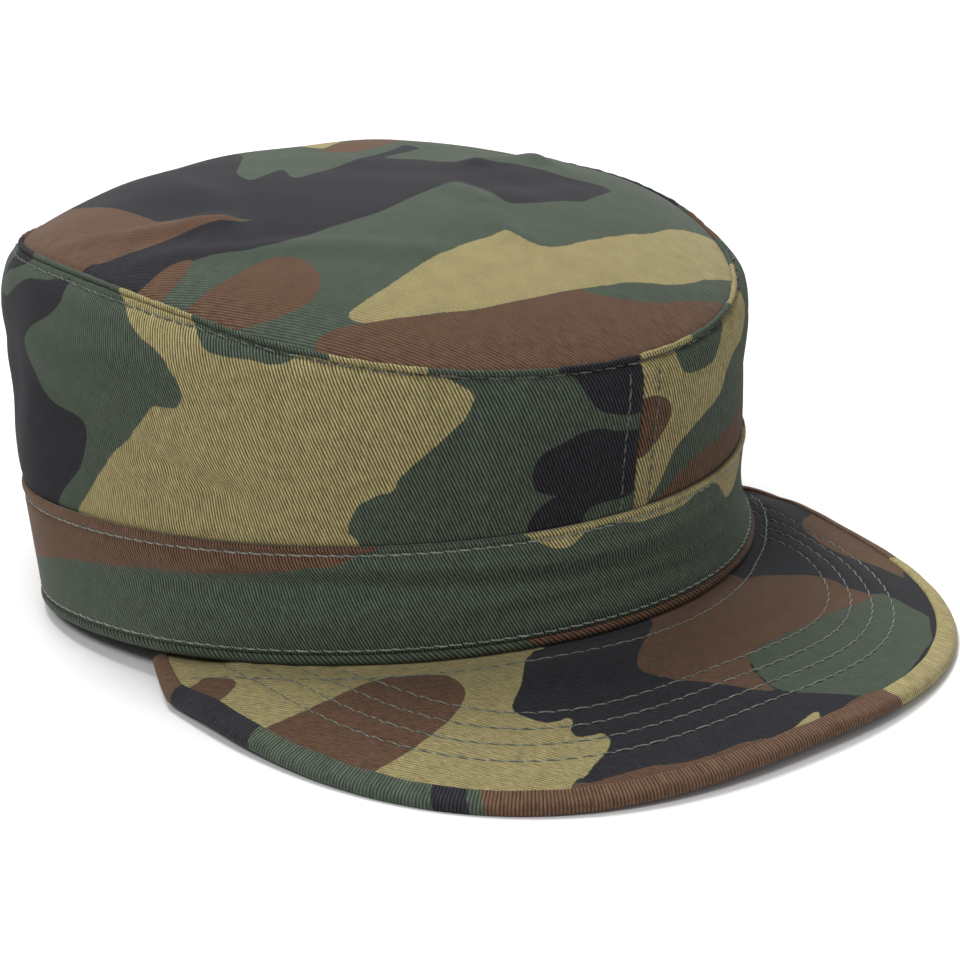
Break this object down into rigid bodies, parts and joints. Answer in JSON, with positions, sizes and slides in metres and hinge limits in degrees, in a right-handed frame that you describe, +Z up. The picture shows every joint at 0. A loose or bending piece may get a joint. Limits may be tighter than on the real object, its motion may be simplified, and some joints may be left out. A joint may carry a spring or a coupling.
{
  "type": "patrol cap",
  "caption": "Soft cloth patrol cap with a domed oval top, upright sides, a stitched band and a flat curved peak.",
  "frame": {"origin": "middle of the cap's footprint, on the surface it rests on", "axes": "+Z up, the peak points along -Y, +X towards the wearer's left"},
  "size_m": [0.1952, 0.2644, 0.1011],
  "materials": {
    "top_twill": "matte woodland-pattern cotton twill",
    "side_twill": "matte woodland-pattern cotton twill",
    "band_twill": "matte woodland-pattern cotton twill",
    "welt_twill": "matte rolled twill edge",
    "visor_twill": "matte woodland-pattern cotton twill, stitched",
    "binding_twill": "matte woodland-pattern bias-cut twill",
    "stitch_thread": "grey-green spun thread"
  },
  "bodies": {
    "root": {"crown_top": "top_twill", "crown_side_right": "side_twill", "crown_side_left": "side_twill", "band": "band_twill", "bottom_welt": "welt_twill", "visor": "visor_twill", "visor_binding": "binding_twill"}
  },
  "joints": []
}
